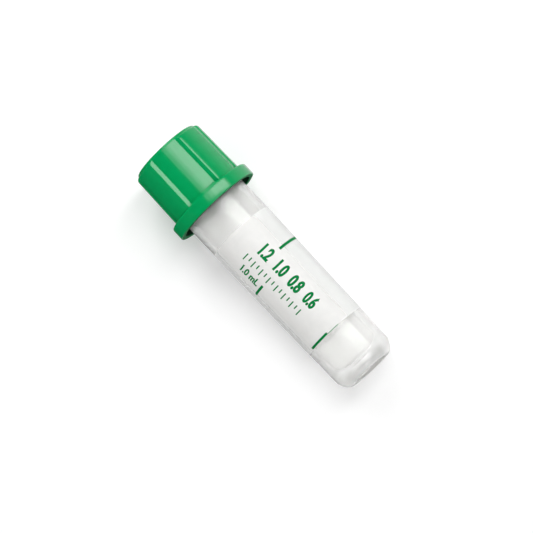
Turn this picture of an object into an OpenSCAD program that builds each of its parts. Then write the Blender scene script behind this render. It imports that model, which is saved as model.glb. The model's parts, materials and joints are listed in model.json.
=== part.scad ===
// Small capped blood collection tube, lying on its side: a clear moulded tube,
// a wrap-round label and a ribbed push-in closure with an open skirt.

/* [Tube] */
// Length of the moulded tube, from its foot to its rim
tube_len = 45; // [36:0.5:70]
// Outer radius of the wall at the top of the foot corner
base_r = 5.22; // [5:0.02:5.5]
// Outer radius of the wall at its top, under the closure
body_r = 5.54; // [5.4:0.02:6]
// Outer radius of the neck that the closure covers
neck_r = 5.2; // [5.1:0.02:5.3]
// Height of the slope between wall and neck
shoulder_h = 0.3; // [0.2:0.05:0.6]
// Radius of the bore at the mouth
mouth_r = 4.65; // [4.3:0.05:4.7]
// Radius of the bore just above its floor
bore_floor_r = 4.15; // [3.8:0.05:4.3]
// Radius of the rounding between bore and floor
bore_round = 2.4; // [1:0.1:3]
// Thickness of the floor
floor_t = 1; // [0.7:0.1:2]

/* [Foot] */
// Outer radius of the flat foot ring
foot_r = 3.95; // [3.6:0.05:4.3]
// Width of the flat foot ring
foot_ring_w = 0.7; // [0.4:0.05:1.2]
// Depth of the hollow inside the foot ring
foot_hollow = 0.45; // [0.2:0.05:0.8]
// Height of the bowed foot corner
corner_h = 1.85; // [1.4:0.05:2.4]
// Radius of the bow of the foot corner
corner_bow_r = 3.1; // [2.4:0.1:6]

/* [Label] */
// Height of the label's lower edge above the foot
label_z = 7.9; // [5:0.1:12]
// Bare wall between the label's upper edge and the closure
label_gap = 5.3; // [3:0.1:8]
// Thickness of the clear film
film_t = 0.06; // [0.04:0.01:0.12]
// Thickness of the printed panels on the film
panel_t = 0.04; // [0.02:0.01:0.1]
// Angle of the front panel's left edge
front_left = -60; // [-80:1:-40]
// Angle of the front panel's right edge
front_right = 35; // [20:1:60]
// Half the angle that the rear panel covers
rear_half = 68; // [40:1:80]
// Width of the slit where the film's ends meet
seam_gap = 0.4; // [0.2:0.1:1]

/* [Closure] */
// Height of the closure
closure_h = 11.9; // [11:0.1:12.5]
// Thickness of the closure's roof
roof_t = 1.25; // [0.9:0.05:2]
// Outer radius of the grip between its ribs, at the top
grip_r = 5.83; // [5.75:0.01:6]
// Slope of the grip's sides, in degrees
draft = 1; // [0.5:0.1:1.5]
// Rounding of the grip's top edge
top_round = 0.35; // [0.2:0.05:0.6]
// Outer radius of the flange
flange_r = 7.5; // [7.2:0.05:8.5]
// Height of the flange
flange_h = 2.1; // [1.8:0.1:3]
// Rounding of the flange's edges
flange_round = 0.3; // [0.15:0.05:0.5]
// Wall of the open skirt under the flange
skirt_t = 0.9; // [0.6:0.05:1.1]
// Depth of the open skirt
skirt_h = 1.4; // [1:0.1:1.5]
// Length of the plug that enters the mouth
plug_len = 6; // [4.5:0.1:7]
// Wall of the plug
plug_t = 0.75; // [0.5:0.05:1]

/* [Grip ribs] */
// Height of the ribs above the grip
rib_h = 0.53; // [0.3:0.01:0.8]
// Half the angle of each smooth thumb panel, rib to rib
panel_half = 29; // [20:1:34]
// Angle that each middle rib covers
middle_rib = 24; // [16:1:30]
// Angle of the grooves between ribs, at the rib tops
groove = 11.6; // [10:0.2:16]
// Steepness of the rib flanks, in degrees
flank_angle = 45; // [35:1:60]
// Distance of the rib shoulders below the top
shoulder_drop = 0.4; // [0.2:0.05:0.8]
// Fillet at the foot of the thumb panels and grooves
foot_fillet = 0.45; // [0.2:0.05:0.5]

/* [Fits] */
// Radial clearance between plug and mouth
plug_clear = 0.05; // [0.02:0.01:0.1]
// Radial clearance between neck and closure
shell_clear = 0.08; // [0.05:0.01:0.15]
// Gap between rim and roof when closed
seat_gap = 0.05; // [0.02:0.01:0.1]
// Gap between the tube's shoulder and the skirt's ceiling when closed
shoulder_gap = 0.2; // [0.1:0.05:0.4]

/* [Hidden] */
$fn = 96;
edge = 0.15;                // broken edge of the rim and the plug
gate_r = 0.6;               // radius of the moulding gate mark in the closure's top
gate_depth = 0.12;
over = 1;                   // how far a cutter runs past what it cuts
shoulder_steps = 8;         // facets of the ribs' round shoulders

// Heights above the foot
roof_z = tube_len + seat_gap;
closure_top = roof_z + roof_t;
skirt_z = closure_top - closure_h;
skirt_top = skirt_z + skirt_h;
flange_top = skirt_z + flange_h;
neck_z = skirt_top - shoulder_gap;
wall_top = neck_z - shoulder_h;
plug_z = roof_z - plug_len;
bore_floor = foot_hollow + floor_t;
bore_z = bore_floor + bore_round;
label_top = skirt_z - label_gap;
rib_top = closure_top - shoulder_drop;

// Radii
plug_r = mouth_r - plug_clear;
shell_r = neck_r + shell_clear;
skirt_r = flange_r - skirt_t;
rib_r = grip_r + rib_h;

// The outer wall is a cone: its radius at a height z
wall_slope = (body_r - base_r) / (wall_top - corner_h);
function wall_r(z) = base_r + (z - corner_h) * wall_slope;

// The grip widens downwards: what it gains from its top to a height z
function flare(z) = (closure_top - z) * tan(draft);

// Point at a radius and an angle about the axis
function polar(r, a) = [r * cos(a), r * sin(a)];

// Lying pose: the flange's lower edge and the foot corner touch the ground
run = skirt_z + flange_round - corner_h;
rise = flange_r - flange_round - base_r;
lean = atan2(rise, run) + asin(flange_round / norm([run, rise]));
axis_z = base_r * cos(lean) - corner_h * sin(lean);
far_end = (closure_top - top_round) * cos(lean) + (grip_r - top_round) * sin(lean) + top_round;
near_end = foot_r * sin(lean);

module lay() {
    translate([(far_end - near_end) / 2, 0, axis_z]) rotate([0, lean - 90, 0]) children();
}

// What is cut away to round a corner, drawn about the rounding's centre; the
// side that the rounding runs into slopes by an angle
module corner_cut(r, slope = 0) {
    reach = r + over;
    difference() {
        polygon([[0, 0], polar(reach, slope), [reach, reach], [0, reach]]);
        circle(r);
    }
}

// ---- tube ----

module tube_outline() {
    chord = [base_r - foot_r, corner_h];
    outward = [corner_h, foot_r - base_r] / norm(chord);
    sink = sqrt(pow(corner_bow_r, 2) - pow(norm(chord) / 2, 2));
    polygon([
        [0, 0], [foot_r, 0], [base_r, corner_h], [body_r, wall_top],
        [neck_r, neck_z], [neck_r, tube_len - edge], [neck_r - edge, tube_len], [0, tube_len]
    ]);
    // The corner bows out beyond the straight line between foot and wall
    intersection() {
        translate([foot_r, 0] + chord / 2 - outward * sink) circle(corner_bow_r);
        translate([foot_r, 0]) square(chord);
    }
}

module bore_outline() {
    straight_z = plug_z - edge;
    polygon([
        [0, bore_z], [bore_floor_r, bore_z], [mouth_r, straight_z], [mouth_r, tube_len - edge],
        [mouth_r + edge, tube_len], [mouth_r + edge, tube_len + over], [0, tube_len + over]
    ]);
    translate([0, bore_floor]) square([bore_floor_r - bore_round, bore_round]);
    intersection() {
        translate([bore_floor_r - bore_round, bore_z]) circle(bore_round);
        translate([bore_floor_r - bore_round, bore_floor]) square(bore_round);
    }
}

module foot_hollow_outline() {
    ring_r = foot_r - foot_ring_w;
    polygon([
        [0, -over], [ring_r, -over], [ring_r, 0], [ring_r - foot_hollow, foot_hollow], [0, foot_hollow]
    ]);
}

module tube() {
    color([0.9, 0.93, 0.93, 0.5]) lay() rotate_extrude() difference() {
        tube_outline();
        bore_outline();
        foot_hollow_outline();
    }
}

// ---- label ----

// Conical skin on the wall, between two heights above the wall's surface
module skin(inner, outer) {
    rotate_extrude() polygon([
        [wall_r(label_z) + inner, label_z], [wall_r(label_z) + outer, label_z],
        [wall_r(label_top) + outer, label_top], [wall_r(label_top) + inner, label_top]
    ]);
}

// Wedge between two angles less than 180 degrees apart
module wedge(a, b) {
    reach = 3 * body_r;
    translate([0, 0, label_z - over / 2]) linear_extrude(label_top - label_z + over)
        polygon([[0, 0], polar(reach, a), polar(reach, (a + b) / 2), polar(reach, b)]);
}

// A slit film that carries two printed panels
module label() {
    color("white") lay() {
        difference() {
            skin(0, film_t);
            translate([-seam_gap / 2, -2 * body_r, label_z - over])
                cube([seam_gap, 2 * body_r, label_top - label_z + 2 * over]);
        }
        intersection() {
            skin(film_t, film_t + panel_t);
            union() {
                wedge(front_left, front_right);
                wedge(180 - rear_half, 180 + rear_half);
            }
        }
    }
}

// ---- closure ----

// Turned outline of the grip, with its round top edge and its foot fillet
module grip_outline() {
    foot = grip_r + flare(flange_top);
    fillet_x = foot_fillet * (1 - sin(draft)) / cos(draft);
    round_x = grip_r + top_round * (tan(draft) - 1 / cos(draft));
    difference() {
        polygon([[0, skirt_top], [foot, skirt_top], [foot, flange_top], [grip_r, closure_top], [0, closure_top]]);
        translate([round_x, closure_top - top_round]) corner_cut(top_round, draft);
    }
    translate([foot, flange_top]) difference() {
        fillet_top = foot_fillet * (1 - sin(draft));
        polygon([
            [-foot_fillet, 0], [fillet_x, 0],
            [-fillet_top * tan(draft), fillet_top], [-foot_fillet, fillet_top]
        ]);
        translate([fillet_x, foot_fillet]) circle(foot_fillet);
    }
}

module flange_outline() {
    round_x = flange_r - flange_round;
    difference() {
        translate([0, skirt_z]) square([flange_r, flange_h]);
        translate([round_x, flange_top - flange_round]) corner_cut(flange_round);
        translate([round_x, skirt_z + flange_round]) mirror([0, 1]) corner_cut(flange_round);
    }
}

// Column that holds one rib of a given angle: its flanks slope away from the
// tips of the rib's top, down into the grip
module rib_column(angle) {
    half = angle / 2;
    fall = [sin(flank_angle + half), cos(flank_angle + half)];
    tip = polar(rib_r, half);
    high = tip + [fall[0], -fall[1]] * rib_h * 2;
    low = tip - [fall[0], -fall[1]] * rib_h * 2;
    translate([0, 0, skirt_z]) linear_extrude(closure_h)
        polygon([[low[0], -low[1]], [high[0], -high[1]], [2 * rib_r, 0], high, low]);
}

// The ribs are cut from a turned envelope with round shoulders
module ribs() {
    corner_rib = 90 - middle_rib / 2 - groove - panel_half;
    corner_mid = panel_half + corner_rib / 2;
    top_r = rib_r + flare(rib_top);
    round_mid = [top_r + rib_h * (tan(draft) - 1 / cos(draft)), rib_top - rib_h];
    shoulder = [for (i = [0 : shoulder_steps])
        round_mid + polar(rib_h, draft + (90 - draft) * i / shoulder_steps)];
    intersection() {
        rotate_extrude() polygon(concat(
            [[0, flange_top - over], [rib_r + flare(flange_top - over), flange_top - over]],
            shoulder, [[0, rib_top]]));
        union() {
            for (middle = [90, 270]) {
                rotate(middle) rib_column(middle_rib);
                rotate(middle + 90 - corner_mid) rib_column(corner_rib);
                rotate(middle - 90 + corner_mid) rib_column(corner_rib);
            }
        }
    }
}

// Turned hollow: the skirt, the annular seat of the neck and the plug's bore
module closure_hollow() {
    translate([0, skirt_z - over]) square([skirt_r, skirt_h + over]);
    difference() {
        translate([0, skirt_z]) square([shell_r, roof_z - skirt_z]);
        polygon([
            [plug_r - plug_t, plug_z], [plug_r - edge, plug_z], [plug_r, plug_z + 2 * edge],
            [plug_r, roof_z + over], [plug_r - plug_t, roof_z + over]
        ]);
    }
}

module closure() {
    color([0.0, 0.6, 0.32]) lay() difference() {
        union() {
            rotate_extrude() {
                grip_outline();
                flange_outline();
            }
            ribs();
        }
        rotate_extrude() closure_hollow();
        translate([0, 0, closure_top - gate_depth]) cylinder(r = gate_r, h = gate_depth + over);
    }
}

tube();
label();
closure();
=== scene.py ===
"""Looks of a small capped blood collection tube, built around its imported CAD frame."""
import json
import math

import bmesh
import bpy
from mathutils import Matrix, Vector


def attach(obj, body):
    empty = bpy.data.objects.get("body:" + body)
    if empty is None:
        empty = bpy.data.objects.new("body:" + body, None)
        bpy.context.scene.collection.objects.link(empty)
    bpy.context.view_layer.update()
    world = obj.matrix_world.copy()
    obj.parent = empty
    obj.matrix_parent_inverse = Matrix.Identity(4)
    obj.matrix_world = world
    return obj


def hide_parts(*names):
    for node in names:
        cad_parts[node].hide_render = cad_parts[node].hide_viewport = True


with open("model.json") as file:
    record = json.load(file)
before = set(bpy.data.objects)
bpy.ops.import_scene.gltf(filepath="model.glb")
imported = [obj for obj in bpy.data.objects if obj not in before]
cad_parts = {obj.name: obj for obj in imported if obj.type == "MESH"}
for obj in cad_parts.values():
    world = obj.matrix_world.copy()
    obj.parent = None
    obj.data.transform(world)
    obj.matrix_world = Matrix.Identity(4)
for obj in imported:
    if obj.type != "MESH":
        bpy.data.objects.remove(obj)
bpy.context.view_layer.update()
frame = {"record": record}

scene = bpy.context.scene
record = frame["record"]
MM = 0.001

# ---- the lying pose, read from the record ----

mounts = {m["name"]: m for m in record["mounts"]}
axis = Vector(record["behaviour"]["joints"][0]["axis"]).normalized()
side = Vector((0, 1, 0))
top = side.cross(axis)
# The mount lies on the foot ring, which is this far from the tube's axis
RING_MIDDLE = 3.6
foot_at = Vector(mounts["foot_ring"]["pos_m"]) - top * (RING_MIDDLE * MM)
# Object space: millimetres, z from the foot to the closure, x up, y sideways
LAY = Matrix((
    (top.x, side.x, axis.x, foot_at.x),
    (top.y, side.y, axis.y, foot_at.y),
    (top.z, side.z, axis.z, foot_at.z),
    (0, 0, 0, 1),
))


def place(x, y, z):
    return LAY @ (Vector((x, y, z)) * MM)


# ---- sizes, in millimetres from the foot ----

TUBE_LEN = 45
BASE_R, BODY_R, NECK_R = 5.22, 5.54, 5.2
CORNER_H, CORNER_BOW_R = 1.85, 3.1
WALL_TOP, NECK_Z = 35.3, 35.6
FOOT_R, FOOT_RING_W, FOOT_HOLLOW = 3.95, 0.7, 0.45
MOUTH_R, BORE_FLOOR_R, BORE_ROUND, BORE_FLOOR = 4.65, 4.15, 2.4, 1.45
BORE_STRAIGHT = 38.9
LABEL_Z, LABEL_TOP = 7.9, 29.1
FILM_T, PANEL_T, PRINT_T = 0.06, 0.04, 0.008
CLOSURE_TOP, ROOF_Z = 46.3, 45.05
SKIRT_Z, SKIRT_TOP, FLANGE_TOP = 34.4, 35.8, 36.5
FLANGE_R, FLANGE_ROUND, SKIRT_R, SHELL_R = 7.5, 0.3, 6.6, 5.28
PLUG_R, PLUG_T, PLUG_Z = 4.6, 0.75, 39.05
GRIP_R, DRAFT, TOP_ROUND = 5.83, math.radians(1), 0.35
RIB_H, SHOULDER_DROP, FLANK = 0.53, 0.4, math.radians(45)
PANEL_HALF, MIDDLE_RIB, GROOVE = 29, 24, 11.6
FILLET, RIB_FILLET = 0.45, 0.12
GATE_R, GATE_DEPTH, GATE_SLOPE = 0.6, 0.12, 0.08

# Radii of the fine rounds on the tube's edges
HOLLOW_SOFT, RING_SOFT, FOOT_SOFT = 0.2, 0.1, 0.16
CORNER_SOFT, SHOULDER_SOFT, RIM_SOFT = 0.1, 0.08, 0.14
# Radii of the fine rounds on the closure's edges
LIP_SOFT, CEILING_SOFT, SHELL_SOFT, SEAT_SOFT = 0.12, 0.25, 0.1, 0.15
PLUG_TIP_SOFT, PLUG_BORE_SOFT, PLUG_ROOT_SOFT, GATE_SOFT = 0.2, 0.15, 0.3, 0.05
# How softly a rib's top, foot and shoulder blend into what they meet
RIB_TOP_BLEND, RIB_FOOT_BLEND, SHOULDER_BLEND = 0.05, 0.14, 0.08

WALL_SLOPE = (BODY_R - BASE_R) / (WALL_TOP - CORNER_H)


def wall_r(z):
    return BASE_R + (z - CORNER_H) * WALL_SLOPE


# ---- node materials ----

# The spans of a noise that roughness and colour vary over
NOISE_SPAN, TINT_SPAN = (0.3, 0.7), (0.35, 0.65)
# The shares of open sky between which the painted shade in a recess deepens
OPENNESS_SPAN = (0.2, 0.75)
# How far the painted shade in corners and recesses reaches, and its darkest share of the colour
PAINTED_SHADE_REACH, PAINTED_SHADE_DARKEST = 2.2 * MM, 0.05
# Where a Mix node has its colour sockets
COLOUR_A, COLOUR_B, COLOUR_OUT = 6, 7, 2
# The share of a lamp's light that each surface of the clear plastic lets through
LAMP_SHARE = 0.66


class Tree:
    """Short calls for building a node tree."""

    def __init__(self, tree):
        self.tree = tree

    def add(self, kind, **values):
        node = self.tree.nodes.new(kind)
        for key, value in values.items():
            socket = key.replace("_", " ")
            if hasattr(node, key) and socket not in node.inputs:
                setattr(node, key, value)
            else:
                node.inputs[socket].default_value = value
        return node

    def link(self, a, b):
        self.tree.links.new(a, b)

    def feed(self, socket, given):
        """Gives a socket a number or links another node's output to it."""
        if isinstance(given, bpy.types.NodeSocket):
            self.link(given, socket)
        else:
            socket.default_value = given

    def math(self, kind, a, b=None):
        node = self.add("ShaderNodeMath", operation=kind)
        for socket, given in zip(node.inputs, (a, b)):
            if given is not None:
                self.feed(socket, given)
        return node.outputs[0]

    def scaled(self, value, source, target, kind="LINEAR"):
        """Maps value from one range to another, and holds it at the ends."""
        node = self.add("ShaderNodeMapRange", interpolation_type=kind)
        self.feed(node.inputs["Value"], value)
        for name, given in zip(("From Min", "From Max", "To Min", "To Max"), (*source, *target)):
            self.feed(node.inputs[name], given)
        return node.outputs["Result"]


class Nodes(Tree):
    """A material with one Principled shader."""

    def __init__(self, name):
        self.material = bpy.data.materials.new(name)
        self.material.use_nodes = True
        super().__init__(self.material.node_tree)
        self.bsdf = self.tree.nodes["Principled BSDF"]
        self.out = self.tree.nodes["Material Output"]

    def set(self, **values):
        for key, value in values.items():
            self.bsdf.inputs[key.replace("_", " ")].default_value = value

    def noise(self, scale, detail=2.0, rough=0.5):
        where = self.add("ShaderNodeTexCoord")
        node = self.add("ShaderNodeTexNoise", Scale=scale, Detail=detail, Roughness=rough)
        self.link(where.outputs["Object"], node.inputs["Vector"])
        return node.outputs["Fac"]

    def roughness(self, value, low, high):
        """Roughness that varies with a noise, whose values lie mostly in NOISE_SPAN."""
        self.link(self.scaled(value, NOISE_SPAN, (low, high)), self.bsdf.inputs["Roughness"])

    def bump(self, value, strength, distance):
        node = self.add("ShaderNodeBump", Strength=strength, Distance=distance)
        self.link(value, node.inputs["Height"])
        self.link(node.outputs["Normal"], self.bsdf.inputs["Normal"])

    def paint_recess_shade(self, reach, darkest):
        """Paints shade into the colour in corners and recesses of a size."""
        openness = self.add("ShaderNodeAmbientOcclusion", Distance=reach, samples=8)
        shade = self.scaled(openness.outputs["AO"], OPENNESS_SPAN, (darkest, 1))
        colour = self.bsdf.inputs["Base Color"]
        mix = self.add("ShaderNodeMix", data_type="RGBA", blend_type="MULTIPLY", Factor=1)
        self.link(colour.links[0].from_socket, mix.inputs[COLOUR_A])
        self.link(shade, mix.inputs[COLOUR_B])
        self.link(mix.outputs[COLOUR_OUT], colour)

    def tint(self, value, low, high):
        ramp = self.add("ShaderNodeValToRGB")
        for stop, position, colour in zip(ramp.color_ramp.elements, TINT_SPAN, (low, high)):
            stop.position, stop.color = position, (*colour, 1)
        self.link(value, ramp.inputs["Fac"])
        self.link(ramp.outputs["Color"], self.bsdf.inputs["Base Color"])


def closure_plastic():
    n = Nodes("closure_plastic")
    n.set(IOR=1.5)
    n.tint(n.noise(900), (0.0, 0.335, 0.096), (0.0, 0.352, 0.103))
    # Painted shade darkens the green in the closure's corners and recesses
    n.paint_recess_shade(PAINTED_SHADE_REACH, PAINTED_SHADE_DARKEST)
    n.roughness(n.noise(4200, 3), 0.12, 0.17)
    n.bump(n.noise(5200, 3), 0.05, 0.00001)
    return n.material


def closure_shaded_inside():
    """The matte inside and rim of the closure, in a darker copy of its green that paints in the
    shade where little light falls.
    """
    n = Nodes("closure_shaded_inside")
    n.set(IOR=1.3, Specular_IOR_Level=0.2)
    # A darker copy of the closure's green: painted shade
    n.tint(n.noise(900), (0.0, 0.2, 0.055), (0.0, 0.23, 0.064))
    # Painted shade in corners and recesses as well, on top of the darker tint
    n.paint_recess_shade(PAINTED_SHADE_REACH, PAINTED_SHADE_DARKEST)
    n.roughness(n.noise(3000, 3), 0.55, 0.7)
    n.bump(n.noise(4000, 3), 0.1, 0.00001)
    return n.material


def clear_plastic(name, smoothest, roughest):
    """Clear plastic between two roughnesses."""
    n = Nodes(name)
    n.set(Transmission_Weight=0.78, IOR=1.49)
    n.tint(n.noise(500), (0.908, 0.908, 0.896), (0.928, 0.928, 0.916))
    n.roughness(n.noise(1800, 3), smoothest, roughest)
    n.bump(n.noise(700, 2), 0.03, 0.00002)
    # Lamps reach the floor and the label through the plastic
    path = n.add("ShaderNodeLightPath")
    clear = n.add("ShaderNodeBsdfTransparent")
    clear.inputs["Color"].default_value = (LAMP_SHARE, LAMP_SHARE, LAMP_SHARE, 1)
    mix = n.add("ShaderNodeMixShader")
    n.link(path.outputs["Is Shadow Ray"], mix.inputs["Fac"])
    n.link(n.bsdf.outputs["BSDF"], mix.inputs[1])
    n.link(clear.outputs["BSDF"], mix.inputs[2])
    n.link(mix.outputs["Shader"], n.out.inputs["Surface"])
    return n.material


def film_plastic():
    n = Nodes("label_film")
    n.set(Alpha=0.42, IOR=1.45)
    n.tint(n.noise(700), (0.93, 0.94, 0.93), (0.96, 0.97, 0.96))
    n.roughness(n.noise(2600, 2), 0.3, 0.4)
    return n.material


def white_print():
    n = Nodes("label_white")
    n.set(IOR=1.45)
    n.tint(n.noise(800), (0.83, 0.828, 0.81), (0.855, 0.852, 0.833))
    n.roughness(n.noise(3000, 3), 0.36, 0.48)
    n.bump(n.noise(2400, 3), 0.08, 0.00001)
    return n.material


def green_print():
    n = Nodes("label_green")
    n.set(IOR=1.3, Specular_IOR_Level=0.25)
    n.tint(n.noise(1500), (0.0, 0.195, 0.044), (0.0, 0.22, 0.052))
    n.roughness(n.noise(4000, 2), 0.5, 0.65)
    return n.material


# ---- mesh building ----

def piece(name, points, faces, material, body, sharp=40):
    """One mesh of the object, given in object space in millimetres."""
    mesh = bpy.data.meshes.new(name)
    mesh.from_pydata([place(*p) for p in points], [], faces)
    mesh.materials.append(material)
    mesh.shade_smooth()
    mesh.set_sharp_from_angle(angle=math.radians(sharp))
    mesh.validate()
    obj = bpy.data.objects.new(name, mesh)
    scene.collection.objects.link(obj)
    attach(obj, body)
    return obj


def arc(centre, radius, start, end, steps):
    """Points (r, z) on an arc, from one angle to another in degrees."""
    turns = [math.radians(start + (end - start) * i / steps) for i in range(steps + 1)]
    return [(centre[0] + radius * math.cos(t), centre[1] + radius * math.sin(t)) for t in turns]


def rounded(corners, steps=5):
    """Outline (r, z) through corners (r, z, radius), each rounded by its radius."""
    points = []
    last = len(corners) - 1
    for i, (r, z, radius) in enumerate(corners):
        here = Vector((r, z))
        if radius <= 0 or i in (0, last):
            points.append((r, z))
            continue
        before = (Vector(corners[i - 1][:2]) - here).normalized()
        after = (Vector(corners[i + 1][:2]) - here).normalized()
        half = before.angle(after) / 2
        run = radius / math.tan(half)
        centre = here + (before + after).normalized() * (radius / math.sin(half))
        a, b = here + before * run - centre, here + after * run - centre
        turn = a.angle_signed(b)
        for k in range(steps + 1):
            t = -turn * k / steps
            points.append((
                centre.x + a.x * math.cos(t) - a.y * math.sin(t),
                centre.y + a.x * math.sin(t) + a.y * math.cos(t),
            ))
    return points


def turned(columns):
    """Closed surface through columns of points (r, z), one column for each angle.
    Each column starts and ends on the axis."""
    count, size = len(columns), len(columns[0])
    points = [(0, 0, columns[0][0][1]), (0, 0, columns[0][-1][1])]
    for i, column in enumerate(columns):
        angle = 2 * math.pi * i / count
        points += [(r * math.cos(angle), r * math.sin(angle), z) for r, z in column[1:-1]]
    inner = size - 2
    faces = []
    for i in range(count):
        a, b = 2 + i * inner, 2 + (i + 1) % count * inner
        faces.append((0, b, a))
        faces += [(a + k, b + k, b + k + 1, a + k + 1) for k in range(inner - 1)]
        faces.append((1, a + inner - 1, b + inner - 1))
    return points, faces


# Degrees between a plate's columns, and steps round its corners
PLATE_STEP, CORNER_STEPS = 1.5, 6


def patch(inner, outer, a, b, low, high, corner=0.0, steps=0):
    """Closed curved plate on the wall, between two heights above its surface, two
    angles in degrees and two heights, with its corners rounded."""
    columns = max(steps, int(abs(b - a) / PLATE_STEP) + 1)
    middle = (low + high) / 2
    width = math.radians(abs(b - a)) * wall_r(middle)
    points, faces = [], []
    marks = [i / columns for i in range(columns + 1)]
    if corner > 0:
        share = corner / width
        turns = [math.pi / 2 * k / CORNER_STEPS for k in range(CORNER_STEPS + 1)]
        fine = [share * (1 - math.cos(turn)) for turn in turns]
        between = [m for m in marks if share < m < 1 - share]
        marks = fine + between + [1 - f for f in reversed(fine)]
    for mark in marks:
        angle = math.radians(a + (b - a) * mark)
        from_edge = min(mark, 1 - mark) * width
        cut = 0.0
        if from_edge < corner:
            cut = corner - math.sqrt(max(corner ** 2 - (corner - from_edge) ** 2, 0))
        for z in (low + cut, high - cut):
            for lift in (inner, outer):
                r = wall_r(z) + lift
                points.append((r * math.cos(angle), r * math.sin(angle), z))
    for i in range(len(marks) - 1):
        k, m = i * 4, i * 4 + 4
        faces += [
            (k, m, m + 1, k + 1), (k + 1, m + 1, m + 3, k + 3),
            (k + 3, m + 3, m + 2, k + 2), (k + 2, m + 2, m, k),
        ]
    end = (len(marks) - 1) * 4
    faces += [(0, 1, 3, 2), (end, end + 2, end + 3, end + 1)]
    return points, faces


# ---- the clear tube ----

FLOOR_STEPS = 20
# Lowest and highest roughness of the clear plastic
SMOOTH, MATT = (0.19, 0.23), (0.36, 0.44)
A_HAIR = 0.01


def reach_of(face, spots):
    """A face's largest distance from the axis and its highest point."""
    corners = [spots[i] for i in face.vertices]
    return max(math.hypot(x, y) for x, y, z in corners), max(z for x, y, z in corners)


def bow_points(steps=8):
    """The foot corner bows out between the foot and the wall."""
    chord = Vector((BASE_R - FOOT_R, CORNER_H))
    outward = Vector((CORNER_H, FOOT_R - BASE_R)).normalized()
    sink = math.sqrt(CORNER_BOW_R ** 2 - (chord.length / 2) ** 2)
    centre = Vector((FOOT_R, 0)) + chord / 2 - outward * sink
    start = math.degrees(math.atan2(-centre.y, FOOT_R - centre.x))
    end = math.degrees(math.atan2(CORNER_H - centre.y, BASE_R - centre.x))
    return arc(centre, CORNER_BOW_R, start, end, steps)


def tube_profile():
    """Outline (r, z) from the foot's middle round the rim to the bore's floor."""
    ring_r = FOOT_R - FOOT_RING_W
    round_z = BORE_FLOOR + BORE_ROUND
    bow = bow_points()
    foot = rounded([
        (0, FOOT_HOLLOW, 0), (ring_r - FOOT_HOLLOW, FOOT_HOLLOW, HOLLOW_SOFT),
        (ring_r, 0, RING_SOFT), (FOOT_R, 0, FOOT_SOFT), (*bow[2], 0),
    ])
    wall = rounded([
        (*bow[-2], 0), (BASE_R, CORNER_H, CORNER_SOFT), (BODY_R, WALL_TOP, SHOULDER_SOFT),
        (NECK_R, NECK_Z, SHOULDER_SOFT), (NECK_R, TUBE_LEN, RIM_SOFT),
        (MOUTH_R, TUBE_LEN, RIM_SOFT), (MOUTH_R, BORE_STRAIGHT, 0), (BORE_FLOOR_R, round_z, 0),
    ])
    floor_arc = arc((BORE_FLOOR_R - BORE_ROUND, round_z), BORE_ROUND, 0, -90, FLOOR_STEPS)
    return foot + bow[3:-2] + wall + floor_arc[1:] + [(0, BORE_FLOOR)]


TURNS = 192
plastic = clear_plastic("clear_plastic", *SMOOTH)
points, faces = turned([tube_profile()] * TURNS)
tube = piece("tube_shell", points, faces, plastic, "tube")
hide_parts("tube")
# The foot's hollow and its ring are matt from the mould
tube.data.materials.append(clear_plastic("clear_plastic_matt", *MATT))
for face in tube.data.polygons:
    widest, highest = reach_of(face, points)
    if widest < FOOT_R - RING_SOFT and highest < FOOT_HOLLOW + A_HAIR:
        face.material_index = 1

# ---- the closure ----

CLOSURE_TURNS = 720
EDGE_STEPS, SHOULDER_STEPS, SIDE_STEPS, FILLET_STEPS = 8, 12, 14, 7
# The outlines of the flange's top and underside meet on its rim, this far down
RIM_DROP = 0.6
# The closure sits a touch off the middle of the label
TURNED_BY = 1.5


def soft_max(a, b, blend):
    """The larger of two, rounded where they are less than blend apart."""
    near = max(blend - abs(a - b), 0) / blend
    return max(a, b) + near * near * blend / 4


def rib_places():
    """Middle and width in degrees of two middle ribs and four corner ribs."""
    corner_rib = 90 - MIDDLE_RIB / 2 - GROOVE - PANEL_HALF
    corner_mid = PANEL_HALF + corner_rib / 2
    corners = (corner_mid, 180 - corner_mid, 180 + corner_mid, 360 - corner_mid)
    return [(90, MIDDLE_RIB), (270, MIDDLE_RIB)] + [(middle, corner_rib) for middle in corners]


def rib_height(angle):
    """Height of the ribs above the grip at an angle in degrees, before it is shaped
    by the shoulders. Past their flanks it goes on down, for soft feet."""
    best = -RIB_H
    for middle, width in rib_places():
        off = abs((angle - middle + 180) % 360 - 180)
        past = math.radians(off - width / 2) * (GRIP_R + RIB_H)
        best = max(best, RIB_H - past * math.tan(FLANK))
    return best


def rib_shape(angle):
    """The ribs' height with soft edges along their tops and feet."""
    eased = -soft_max(-rib_height(angle), -RIB_H, RIB_FOOT_BLEND)
    return min(soft_max(eased, 0, RIB_TOP_BLEND), RIB_H)


def quarter(k, steps):
    """The angle of a step along a quarter turn."""
    return math.radians(90 * k / steps)


def grip_drops():
    """Depths under the closure's top at which the grip is built."""
    drops = [(TOP_ROUND + SHOULDER_DROP) / 2]
    for k in range(SHOULDER_STEPS + 1):
        drops.append(SHOULDER_DROP + RIB_H * (1 - math.cos(quarter(k, SHOULDER_STEPS))))
    high, low = SHOULDER_DROP + RIB_H, FOOT_DROP - FILLET
    return drops + [high + (low - high) * k / SIDE_STEPS for k in range(1, SIDE_STEPS + 1)]


def grip_r(drop, height):
    """Radius of the grip and its ribs at a depth under the top."""
    raised = 0.0
    if drop > SHOULDER_DROP:
        fall = max(SHOULDER_DROP + RIB_H - drop, 0)
        envelope = math.sqrt(max(RIB_H ** 2 - fall ** 2, 0))
        raised = -soft_max(-height, -envelope, SHOULDER_BLEND)
    return GRIP_R + drop * math.tan(DRAFT) + max(raised, 0)


FOOT_DROP = CLOSURE_TOP - FLANGE_TOP


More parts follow.
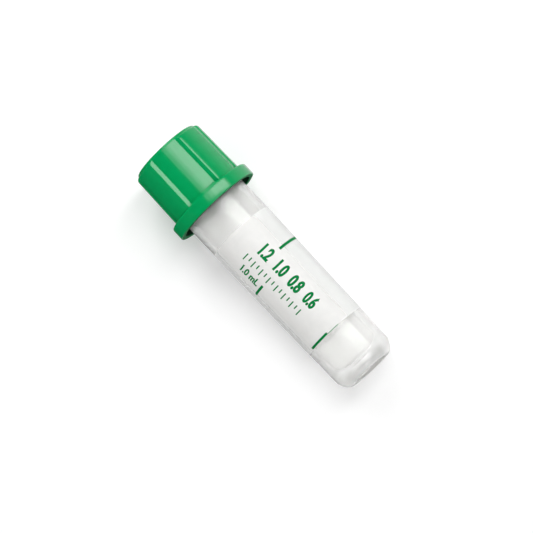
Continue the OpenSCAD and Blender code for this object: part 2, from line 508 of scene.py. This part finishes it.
def closure_columns():
    """Outlines (r, z) round the closure, from its gate over the grip and flange and
    back inside to its roof."""
    edge_r = GRIP_R - TOP_ROUND
    start = rounded([
        (0, CLOSURE_TOP - GATE_DEPTH, 0),
        (GATE_R - GATE_SLOPE, CLOSURE_TOP - GATE_DEPTH, GATE_SOFT),
        (GATE_R, CLOSURE_TOP, GATE_SOFT), (edge_r, CLOSURE_TOP, 0),
    ], 3)
    for k in range(1, EDGE_STEPS + 1):
        turn = quarter(k, EDGE_STEPS)
        start.append((
            edge_r + TOP_ROUND * math.sin(turn),
            CLOSURE_TOP - TOP_ROUND * (1 - math.cos(turn)),
        ))
    flange_edge = rounded([
        (GRIP_R + 1, FLANGE_TOP, 0), (FLANGE_R, FLANGE_TOP, FLANGE_ROUND),
        (FLANGE_R, FLANGE_TOP - RIM_DROP, 0),
    ], 6)
    under = rounded([
        (FLANGE_R, FLANGE_TOP - RIM_DROP, 0), (FLANGE_R, SKIRT_Z, LIP_SOFT),
        (SKIRT_R, SKIRT_Z, LIP_SOFT), (SKIRT_R, SKIRT_TOP, CEILING_SOFT),
        (SHELL_R, SKIRT_TOP, SHELL_SOFT), (SHELL_R, ROOF_Z, SEAT_SOFT),
        (PLUG_R, ROOF_Z, SEAT_SOFT), (PLUG_R, PLUG_Z, PLUG_TIP_SOFT),
        (PLUG_R - PLUG_T, PLUG_Z, PLUG_BORE_SOFT), (PLUG_R - PLUG_T, ROOF_Z, PLUG_ROOT_SOFT),
        (0, ROOF_Z, 0),
    ], 4)
    end = flange_edge[1:-1] + under
    drops = grip_drops()
    columns = []
    for i in range(CLOSURE_TURNS):
        height = rib_shape(360 * i / CLOSURE_TURNS + TURNED_BY)
        column = start + [(grip_r(drop, height), CLOSURE_TOP - drop) for drop in drops]
        size = FILLET + (RIB_FILLET - FILLET) * height / RIB_H
        foot = GRIP_R + FOOT_DROP * math.tan(DRAFT) + height
        for k in range(FILLET_STEPS + 1):
            turn = quarter(k, FILLET_STEPS)
            column.append((
                foot + size * (1 - math.cos(turn)),
                FLANGE_TOP + size * (1 - math.sin(turn)),
            ))
        columns.append(column + end)
    return columns


green = closure_plastic()
points, faces = turned([list(reversed(c)) for c in closure_columns()])
closure = piece("closure_moulding", points, faces, green, "closure", 50)
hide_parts("closure")
# The skirt's inside and rim and the roof's underside take the darker green, which is painted
# shade
closure.data.materials.append(closure_shaded_inside())
for face in closure.data.polygons:
    widest, highest = reach_of(face, points)
    in_skirt = widest < FLANGE_R - LIP_SOFT + A_HAIR and highest < SKIRT_TOP + A_HAIR
    if in_skirt or (widest < GRIP_R - TOP_ROUND and highest < ROOF_Z + A_HAIR):
        face.material_index = 1

# ---- the label ----

# The film lies a hair above the wall, and its ends leave a seam at one side
GAP_LIFT = 0.004
SEAM_HALF = math.degrees(0.2 / BODY_R)
FILM_STEPS = 180
FRONT_LEFT, FRONT_RIGHT, REAR_HALF, PANEL_ROUND, INK_ROUND = -60, 35, 68, 0.6, 0.06
film = film_plastic()
white = white_print()
ink = green_print()

points, faces = patch(
    GAP_LIFT, FILM_T, -90 + SEAM_HALF, 270 - SEAM_HALF, LABEL_Z, LABEL_TOP, 0, FILM_STEPS)
label = piece("label_film", points, faces, film, "tube")
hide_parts("label")
label.visible_shadow = False

PRINT_LOW = FILM_T + PANEL_T
PRINT_HIGH = PRINT_LOW + PRINT_T


def panel(name, a, b):
    """White panel on the film, between two angles."""
    points, faces = patch(FILM_T, PRINT_LOW, a, b, LABEL_Z, LABEL_TOP, PANEL_ROUND)
    return piece(name, points, faces, white, "tube")


# The film lets light through to the front panel's back
panel("label_front", FRONT_LEFT, FRONT_RIGHT).visible_shadow = False
panel("label_rear", 180 - REAR_HALF, 180 + REAR_HALF)


def stroke(name, a, b, low, high, under=PRINT_LOW):
    """Printed line between two angles and two heights."""
    points, faces = patch(under, PRINT_HIGH, a, b, low, high, INK_ROUND)
    piece(name, points, faces, ink, "tube").visible_shadow = False


# Half the letters' thickness before they are wrapped, and the slices they are cut into
LETTER_HALF, LETTER_SLICES = 0.5, 16

# Plain fill lines: two angles, two heights
for name, *where in (
    ("line_right", 26.5, 80, 22.32, 22.76),
    ("line_left", -64, -37, 20.0, 20.42),
    ("line_low", -54, -11.5, LABEL_Z + 0.02, LABEL_Z + 0.42),
    ("line_low_thin", -11.5, 12, LABEL_Z + 0.02, LABEL_Z + 0.12),
):
    stroke(name, *where, FILM_T)


def flat_letters(name, text, narrow, weight):
    """Flat closed letters as a bmesh, squeezed to a share of their width and then made
    bolder by a weight."""
    words = bpy.data.curves.new(name, "FONT")
    words.body = text
    words.align_x, words.align_y = "CENTER", "CENTER"
    written = bpy.data.objects.new(name, words)
    curve = written.to_curve(bpy.context.evaluated_depsgraph_get()).copy()
    for spline in curve.splines:
        for p in spline.bezier_points:
            spots = (p.co, p.handle_left, p.handle_right)
            squeezed = [Vector((v.x * narrow, v.y, v.z)) for v in spots]
            p.handle_left_type = p.handle_right_type = "FREE"
            p.co, p.handle_left, p.handle_right = squeezed
    curve.extrude = LETTER_HALF
    curve.offset = weight
    curve.resolution_u = 4
    flat = bpy.data.objects.new(name, curve)
    letters = bmesh.new()
    letters.from_mesh(bpy.data.meshes.new_from_object(flat))
    bpy.data.objects.remove(flat)
    bpy.data.objects.remove(written)
    bmesh.ops.remove_doubles(letters, verts=letters.verts, dist=1e-5)
    return letters


def lettering(name, text, angle, z, height, narrow, weight):
    """Closed flat letters wrapped on the label, about a middle angle and height. They
    read towards the foot, with their tops towards larger angles."""
    letters = flat_letters(name, text, narrow, weight)
    ys = [v.co.y for v in letters.verts]
    low, tall = min(ys), max(ys) - min(ys)
    scale = height / tall
    # Cuts across the letters let them follow the label's curve
    for k in range(1, LETTER_SLICES):
        everything = list(letters.verts) + list(letters.edges) + list(letters.faces)
        bmesh.ops.bisect_plane(
            letters, geom=everything, plane_co=(0, low + tall * k / LETTER_SLICES, 0),
            plane_no=(0, 1, 0))
    middle = (max(ys) + min(ys)) / 2
    points = []
    for v in letters.verts:
        at_z = z - v.co.x * scale
        lift = PRINT_LOW - PRINT_T + (v.co.z + LETTER_HALF) * 2 * PRINT_T
        turn = math.radians(angle) + (v.co.y - middle) * scale / wall_r(z)
        r = wall_r(at_z) + lift
        points.append((r * math.cos(turn), r * math.sin(turn), at_z))
    letters.verts.index_update()
    faces = [[v.index for v in f.verts] for f in letters.faces]
    letters.free()
    piece(name, points, faces, ink, "tube", 30).visible_shadow = False


# ---- the printed scale, in place of names ----

ONE_ML_Z, MM_PER_ML = 20.2, 16.8
# A tick every 0.05 ml from 0.6 to 1.3 ml, longer at each tenth
TICK_ML, FIRST_TICK, LAST_TICK = 0.05, 12, 26
TICK_HALF, TICK_END, LONG_TICK, SHORT_TICK = 0.1, -16, -29, -24


def fill_z(ml):
    return ONE_ML_Z + (ml - 1) * MM_PER_ML


# Each text has an angle, a height on the tube, a letter height, a width and a weight
for ml in (0.6, 0.8, 1.0, 1.2):
    lettering(f"number_{ml * 10:.0f}", f"{ml:.1f}", 6.5, fill_z(ml), 2.3, 0.62, 0.036)
for k in range(FIRST_TICK, LAST_TICK + 1):
    z = fill_z(k * TICK_ML)
    start = LONG_TICK if k % 2 == 0 else SHORT_TICK
    stroke(f"tick_{k * 5}", start, TICK_END, z - TICK_HALF, z + TICK_HALF)
lettering("volume", "1.0 mL", -41.5, 22.9, 1.35, 0.8, 0.034)

# ---- floor, light and camera ----

FLOOR_HALF = 1.0
FLOOR_TONE = 0.78
# The paper's own glow, near and far off, for rays that only see it, and how far off
# each holds. Far off less of the lamps' light reaches the paper.
GLOW, GLOW_REACH = (0.27, 0.75), (0.12, 0.6)
GLOW_THROUGH = 0.46
# The sky as a light, as seen through the plastic and as the camera sees it
SKY, SKY_THROUGH, WHITE = 0.35, 0.9, 1

corners = [(x * FLOOR_HALF, y * FLOOR_HALF, 0) for x, y in ((-1, -1), (1, -1), (1, 1), (-1, 1))]
floor_mesh = bpy.data.meshes.new("floor")
floor_mesh.from_pydata(corners, [], [(0, 1, 2, 3)])
floor = bpy.data.objects.new("floor", floor_mesh)
scene.collection.objects.link(floor)
floor.visible_glossy = False
paper = Nodes("floor_paper")
paper.set(
    Base_Color=(FLOOR_TONE, FLOOR_TONE, FLOOR_TONE, 1), Roughness=0.9, Specular_IOR_Level=0.0,
    Emission_Color=(1, 1, 1, 1))
rays = paper.add("ShaderNodeLightPath").outputs
distance = paper.add("ShaderNodeVectorMath", operation="LENGTH")
paper.link(paper.add("ShaderNodeTexCoord").outputs["Object"], distance.inputs[0])
seen = paper.math("MAXIMUM", rays["Is Camera Ray"], rays["Is Transmission Ray"])
seen = paper.math("MAXIMUM", seen, rays["Is Glossy Ray"])
glow = paper.math("MULTIPLY", seen, paper.scaled(distance.outputs["Value"], GLOW_REACH, GLOW))
glow = paper.scaled(rays["Is Transmission Ray"], (0, 1), (glow, GLOW_THROUGH))
paper.link(glow, paper.bsdf.inputs["Emission Strength"])
floor_mesh.materials.append(paper.material)

world = bpy.data.worlds.new("studio")
scene.world = world
world.use_nodes = True
room = Tree(world.node_tree)
sky = world.node_tree.nodes["Background"]
sky.inputs["Color"].default_value = (1, 1, 1, 1)
rays = room.add("ShaderNodeLightPath").outputs
heading = room.add("ShaderNodeTexCoord").outputs["Generated"]


def overhead(angle):
    """Unit vector at an angle about X in degrees from overhead."""
    return Vector((0, math.sin(math.radians(angle)), math.cos(math.radians(angle))))


def facing(angle):
    """How far a ray's heading agrees with an angle about X."""
    node = room.add("ShaderNodeVectorMath", operation="DOT_PRODUCT")
    room.link(heading, node.inputs[0])
    node.inputs[1].default_value = overhead(angle)
    return node.outputs["Value"]


# Gloss mirrors a pale room on the key light's side and a dark one on the other
PALE_ANGLE, PALE_SPAN, MIRRORED_TONES = 135, (0.35, 0.85), (0.01, 1.0)
mirrored = room.scaled(facing(PALE_ANGLE), PALE_SPAN, MIRRORED_TONES)
# Past both ends of the key light it mirrors a longer one
STRIP_ANGLE, STRIP_SPAN, STRIP_ENDS, STRIP_TONE = 26, (0.8, 0.92), (0.35, 0.5), 1.8
parts = room.add("ShaderNodeSeparateXYZ")
room.link(heading, parts.inputs[0])
along = room.math("ABSOLUTE", parts.outputs["X"])
across = room.math("SQRT", room.math("SUBTRACT", 1.0, room.math("MULTIPLY", along, along)))
strip = room.math("DIVIDE", facing(STRIP_ANGLE), across)
strip = room.math(
    "MULTIPLY", room.scaled(strip, STRIP_SPAN, (0, 1), "SMOOTHSTEP"),
    room.scaled(along, STRIP_ENDS, (0, 1), "SMOOTHSTEP"))
mirrored = room.math("MAXIMUM", room.math("MULTIPLY", strip, STRIP_TONE), mirrored)
strength = room.scaled(rays["Is Glossy Ray"], (0, 1), (SKY, mirrored))
strength = room.scaled(rays["Is Transmission Ray"], (0, 1), (strength, SKY_THROUGH))
strength = room.scaled(rays["Is Camera Ray"], (0, 1), (strength, WHITE))
room.link(strength, sky.inputs["Strength"])

LAMP_DISTANCE, LAMP_SHIFT = 0.5, -0.04
# Each lamp's brightness as seen from the object, and its size
KEY, SLANTED, FILL = 5.7, 4.9, 1.8
KEY_REACH, SLANTED_SIZE, FILL_REACH = 0.14, 0.25, 0.3
SLANTED_FROM = Vector((-0.7, 0.2, 0.85)).normalized()
# Nested lamps give the key light a soft edge towards the camera's side
KEY_EDGES, FILL_EDGES = ((-7, 55), (5, 57), (15, 59)), (-82, -52)


def lamp(name, direction, width, height, radiance, shift=0.0, glossy=False):
    """Area lamp over the object, in a direction from it and of a given brightness as
    seen from it."""
    data = bpy.data.lights.new(name, "AREA")
    data.shape = "RECTANGLE"
    data.size, data.size_y = width, height
    data.energy = radiance * math.pi * width * height
    obj = bpy.data.objects.new(name, data)
    scene.collection.objects.link(obj)
    obj.location = direction * LAMP_DISTANCE + Vector((shift, 0, 0))
    obj.rotation_euler = direction.to_track_quat("Z", "Y").to_euler()
    obj.visible_glossy = glossy


def long_lamp(name, low, high, reach, radiance, glossy=False):
    """Lamp between two angles about X in degrees from overhead."""
    height = 2 * LAMP_DISTANCE * math.tan(math.radians((high - low) / 2))
    lamp(name, overhead((low + high) / 2), reach, height, radiance, LAMP_SHIFT, glossy)


lamp("slanted", SLANTED_FROM, SLANTED_SIZE, SLANTED_SIZE, SLANTED)
for i, edges in enumerate(KEY_EDGES):
    long_lamp(f"key_{i}", *edges, KEY_REACH, KEY / len(KEY_EDGES), glossy=True)
long_lamp("fill", *FILL_EDGES, FILL_REACH, FILL)

camera = bpy.data.cameras.new("camera")
camera_object = bpy.data.objects.new("camera", camera)
scene.collection.objects.link(camera_object)
scene.camera = camera_object
CAMERA_TILT, CAMERA_ROLL = math.radians(10.5), math.radians(46.765)
CAMERA_DISTANCE, CAMERA_ANGLE = 0.736, math.radians(6.376)
AIM = Vector((0.404, -0.84, 5.0)) * MM
NEAREST, FURTHEST = 0.01, 10
back = Vector((math.sin(CAMERA_TILT), 0, math.cos(CAMERA_TILT)))
down_tube = Vector((math.cos(CAMERA_TILT), 0, -math.sin(CAMERA_TILT)))
right = down_tube * math.cos(CAMERA_ROLL) + side * math.sin(CAMERA_ROLL)
up = side * math.cos(CAMERA_ROLL) - down_tube * math.sin(CAMERA_ROLL)
at = AIM + back * CAMERA_DISTANCE
camera_object.matrix_world = Matrix((
    (right.x, up.x, back.x, at.x),
    (right.y, up.y, back.y, at.y),
    (right.z, up.z, back.z, at.z),
    (0, 0, 0, 1),
))
camera.angle = CAMERA_ANGLE
camera.clip_start, camera.clip_end = NEAREST, FURTHEST

scene.view_settings.view_transform = "Standard"
# Light crosses many walls of the tube and film
scene.cycles.transparent_max_bounces = 32
scene.cycles.max_bounces = 24
scene.cycles.glossy_bounces = 12
scene.cycles.transmission_bounces = 24
